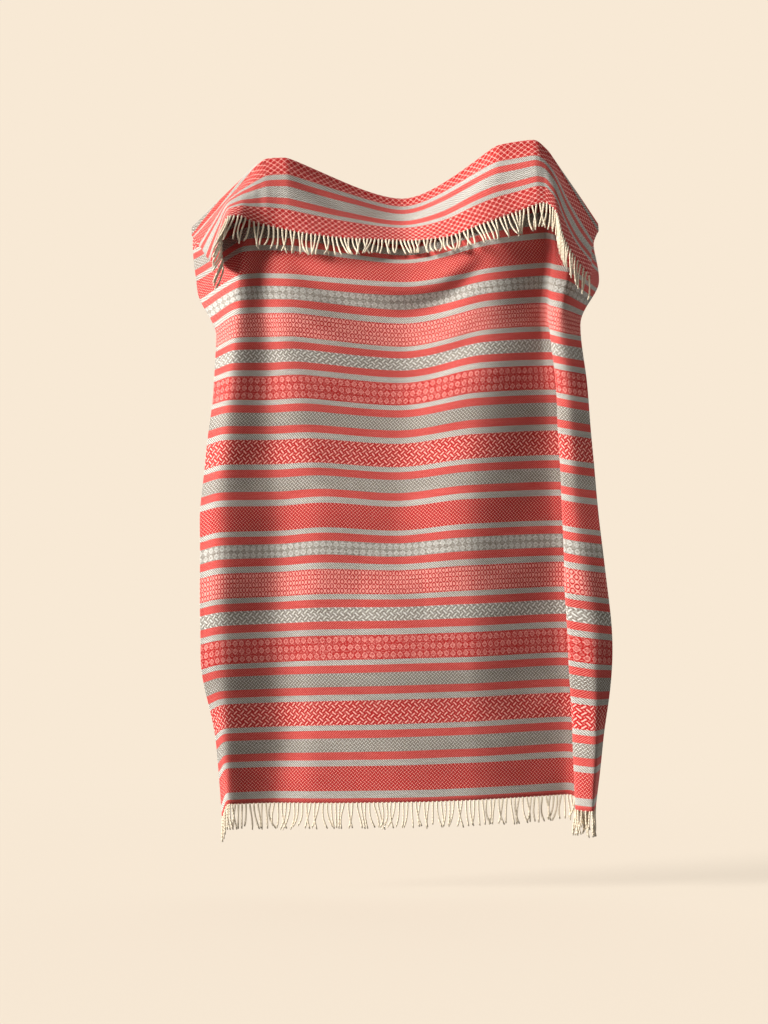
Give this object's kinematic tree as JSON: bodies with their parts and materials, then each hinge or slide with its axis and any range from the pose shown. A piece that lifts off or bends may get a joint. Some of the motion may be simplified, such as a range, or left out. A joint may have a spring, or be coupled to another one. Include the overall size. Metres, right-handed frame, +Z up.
{
  "type": "wool throw blanket",
  "caption": "Striped woven wool throw with a fringe along both ends, hanging by its upper end from two gathered grips with the end folded over to the front.",
  "frame": {"origin": "lowest point of the fold at the top, halfway between the two grips", "axes": "+Z up along the cloth's hang, +X to the right as seen from the front, +Y to the back, away from the face with the flap"},
  "size_m": [1.1143, 0.3283, 1.8591],
  "materials": {
    "striped_wool": "matt woven wool, red and grey cross stripes",
    "cream_wool": "matt twisted wool yarn"
  },
  "bodies": {
    "root": {"blanket": "striped_wool", "bottom_fringe": "cream_wool", "top_fringe": "cream_wool"}
  },
  "joints": []
}
